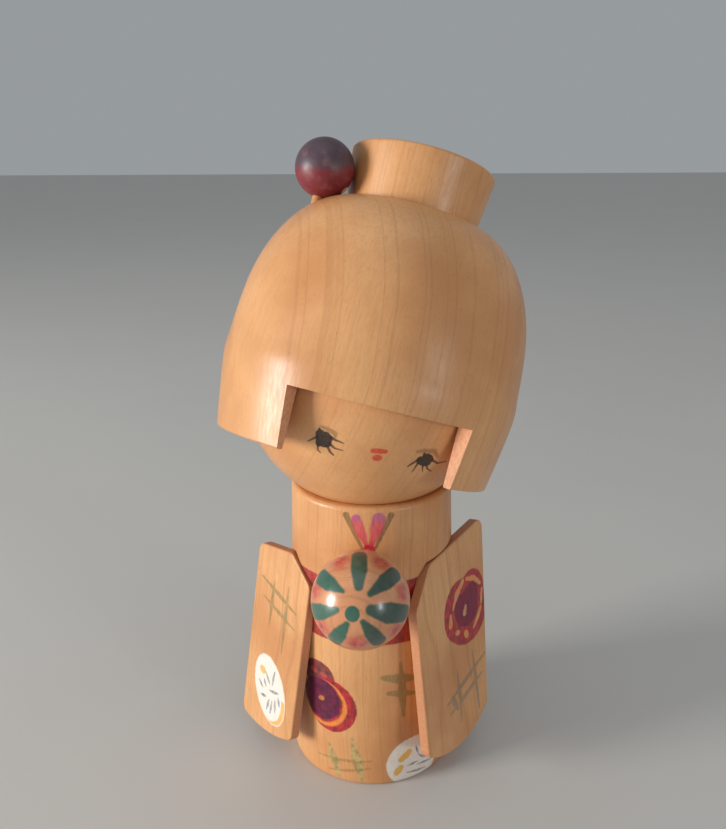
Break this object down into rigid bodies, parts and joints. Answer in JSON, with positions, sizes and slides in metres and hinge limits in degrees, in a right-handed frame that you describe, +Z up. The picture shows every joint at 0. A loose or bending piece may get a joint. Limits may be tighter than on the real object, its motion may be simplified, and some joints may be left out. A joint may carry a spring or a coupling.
{
  "type": "kokeshi doll",
  "caption": "Turned wooden kokeshi doll with flat board sleeves, a hand ball, a bun and a ball head that tilts and turns on a sprung neck.",
  "frame": {"origin": "centre of the body's flat base, where the doll stands", "axes": "+Z up along the body's axis, the doll faces -Y, and its left side is +X"},
  "size_m": [0.0877, 0.0956, 0.19],
  "materials": {
    "body_wood": "satin lacquer over light wood, painted collar, sash and flowers",
    "plug_wood": "bare end grain",
    "face_wood": "satin lacquer over light wood, painted eyes and mouth",
    "hair_wood": "satin lacquer over honey-coloured wood",
    "bun_wood": "satin lacquer over honey-coloured wood",
    "bead_paint": "satin paint, dull violet above and red below",
    "peg_wood": "bare hardwood dowel",
    "ball_paint": "gloss lacquer over painted green petals",
    "sleeve_left_wood": "satin lacquer over light wood, painted flower",
    "sleeve_right_wood": "satin lacquer over light wood, painted flower",
    "pin_steel": "plain steel",
    "spring_steel": "plain spring steel"
  },
  "bodies": {
    "doll_body": {"body": "body_wood", "base_plug": "plug_wood", "hand_ball": "ball_paint", "ball_dowel": "peg_wood", "sleeve_left": "sleeve_left_wood", "sleeve_right": "sleeve_right_wood"},
    "neck_swivel": {"body_cotter": "pin_steel", "body_washer": "pin_steel", "neck_spring": "spring_steel"},
    "neck_link": {"head_cotter": "pin_steel", "head_washer": "pin_steel"},
    "head": {"face_ball": "face_wood", "hair_cap": "hair_wood", "bun": "bun_wood", "hair_bead": "bead_paint", "bead_peg": "peg_wood"}
  },
  "joints": [
    {"name": "head_turn", "type": "hinge", "parent": "doll_body", "child": "neck_swivel", "pos_m": [0, 0, 0.12375], "axis": [0, 0, 1], "continuous": true},
    {"name": "head_lean", "type": "hinge", "parent": "neck_swivel", "child": "neck_link", "pos_m": [0, 0, 0.12375], "axis": [-0.7986, 0.6018, 0], "range_deg": [-45.5, 1.5], "deforming": ["neck_spring"]},
    {"name": "head_spin", "type": "hinge", "parent": "neck_link", "child": "head", "pos_m": [0, 0, 0.12375], "axis": [0.2254, 0.2992, 0.9272], "continuous": true}
  ]
}
